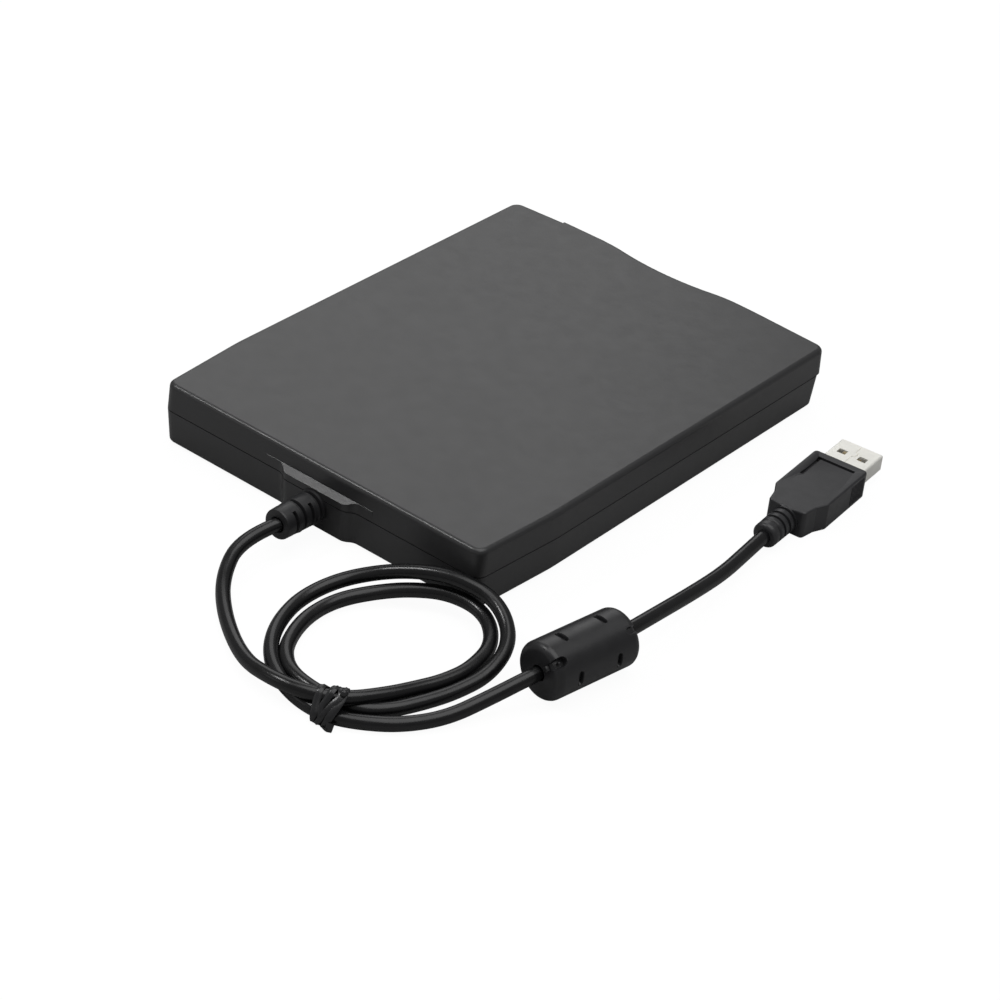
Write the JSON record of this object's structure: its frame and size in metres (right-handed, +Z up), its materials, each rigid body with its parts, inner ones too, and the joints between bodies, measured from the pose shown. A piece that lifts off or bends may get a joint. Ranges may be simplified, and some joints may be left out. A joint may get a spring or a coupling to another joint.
{
  "type": "external floppy disk drive",
  "caption": "Slim portable disk drive in a flat black case, with a slot behind a sprung door, an eject button, working innards and a coiled lead with a bead and a flat plug",
  "frame": {"origin": "middle of the bottom of the case's box (the cable, relief, bead and plug left out); the feet stand on z = 0", "axes": "+Z up; the slot faces -Y; the cable leaves the rear wall towards +Y; +X is to the right of someone who looks at the slot with the cable behind it"},
  "size_m": [0.1439, 0.2001, 0.0176],
  "materials": {
    "black_case": "fine matt grain",
    "black_trim": "smooth satin",
    "cable_jacket": "glossy",
    "rubber": "matt",
    "zinc_steel": "zinc plated",
    "bright_steel": "polished",
    "spring_steel": "plain",
    "plug_metal": "nickel plated",
    "contact_brass": "gold plated",
    "sintered_brass": "sintered",
    "core_steel": "laminated",
    "copper": "enamelled copper",
    "magnet": "bonded",
    "board_green": "solder mask",
    "chip_black": "moulded",
    "white_plastic": "moulded",
    "ferrite_white": "ceramic",
    "arm_metal": "cast",
    "film": "film",
    "lead_wire": "insulated wire",
    "light_green": "clear"
  },
  "bodies": {
    "case": {"upper_shell": "black_case", "lower_shell": "black_case", "case_screws": "bright_steel", "rubber_feet": "rubber", "front_bezel": "black_trim", "flap_pin": "bright_steel", "flap_spring": "spring_steel", "activity_light": "light_green", "chassis": "zinc_steel", "chassis_screws": "bright_steel", "slide_springs": "spring_steel", "lever_pivot": "zinc_steel", "lever_spring": "spring_steel", "motor_board": "board_green", "spindle_bearing": "sintered_brass", "stator_core": "core_steel", "stator_coils": "copper", "carriage_rods": "bright_steel", "rod_clamps": "zinc_steel", "screw_bearing": "zinc_steel", "stepper_motor": "zinc_steel", "switch_bodies": "black_trim", "control_board": "board_green", "control_chips": "chip_black", "interface_board": "board_green", "interface_chips": "chip_black", "cable_header": "white_plastic", "flat_cable": "film", "inner_leads": "lead_wire", "strain_relief": "black_trim", "cord_lead": "cable_jacket", "cord_coil": "cable_jacket", "twist_tie": "cable_jacket", "cord_tail": "cable_jacket", "ferrite_bead": "black_trim", "cord_plug_run": "cable_jacket", "plug_overmould": "black_trim", "plug_shell": "plug_metal", "plug_insert": "white_plastic", "plug_contacts": "contact_brass"},
    "flap": {"slot_flap": "black_trim"},
    "slide": {"slide_plate": "zinc_steel", "eject_button": "black_trim"},
    "holder": {"disc_holder": "zinc_steel", "holder_pins": "zinc_steel"},
    "lever": {"trigger_lever": "black_trim"},
    "spindle": {"spindle_shaft": "bright_steel", "rotor": "zinc_steel", "rotor_magnet": "magnet", "hub": "bright_steel", "drive_pin": "bright_steel"},
    "carriage": {"head_carriage": "black_trim", "lower_head": "ferrite_white", "arm_pin": "bright_steel"},
    "arm": {"upper_arm": "arm_metal", "upper_head": "ferrite_white"},
    "screw": {"lead_screw": "bright_steel"},
    "disk_sense": {"disk_plunger": "black_trim"},
    "protect_sense": {"protect_plunger": "black_trim"},
    "density_sense": {"density_plunger": "black_trim"}
  },
  "joints": [
    {"name": "flap_hinge", "type": "hinge", "parent": "case", "child": "flap", "pos_m": [0, -0.066, 0.01465], "axis": [1, 0, 0], "range_deg": [0, 88], "stiffness_Nm_per_rad": 0.0004, "springref_deg": -11.46},
    {"name": "eject_slide", "type": "slide", "parent": "case", "child": "slide", "axis": [0, -1, 0], "range_m": [0, 0.0044], "deforming": ["slide_springs"]},
    {"name": "holder_lift", "type": "slide", "parent": "case", "child": "holder", "axis": [0, 0, 1], "range_m": [-0.0022, 0]},
    {"name": "lever_turn", "type": "hinge", "parent": "case", "child": "lever", "pos_m": [-0.037, 0.0344, 0], "axis": [0, 0, 1], "range_deg": [0, 20]},
    {"name": "spindle_turn", "type": "hinge", "parent": "case", "child": "spindle", "pos_m": [0, -0.0201, 0], "axis": [0, 0, 1], "continuous": true},
    {"name": "head_travel", "type": "slide", "parent": "case", "child": "carriage", "axis": [0, -1, 0], "range_m": [0, 0.0148]},
    {"name": "screw_turn", "type": "hinge", "parent": "case", "child": "screw", "pos_m": [0.0205, 0, 0.0099], "axis": [0, 1, 0], "range_deg": [0, 1421]},
    {"name": "arm_drop", "type": "hinge", "parent": "carriage", "child": "arm", "pos_m": [0, 0.0514, 0.01435], "axis": [1, 0, 0], "range_deg": [0, 7.8]},
    {"name": "disk_sense_press", "type": "slide", "parent": "case", "child": "disk_sense", "axis": [0, 0, -1], "range_m": [0, 0.0008], "stiffness_N_per_m": 150, "springref_m": -0.0006},
    {"name": "protect_sense_press", "type": "slide", "parent": "case", "child": "protect_sense", "axis": [0, 0, -1], "range_m": [0, 0.0008], "stiffness_N_per_m": 150, "springref_m": -0.0006},
    {"name": "density_sense_press", "type": "slide", "parent": "case", "child": "density_sense", "axis": [0, 0, -1], "range_m": [0, 0.0008], "stiffness_N_per_m": 150, "springref_m": -0.0006}
  ],
  "couplings": [
    {"joint": "holder_lift", "follows": "eject_slide", "ratio": -0.5},
    {"joint": "lever_turn", "follows": "eject_slide", "rad_per_m": 79.331},
    {"joint": "arm_drop", "follows": "eject_slide", "rad_per_m": 30.938},
    {"joint": "screw_turn", "follows": "head_travel", "rad_per_m": 1675.5}
  ]
}
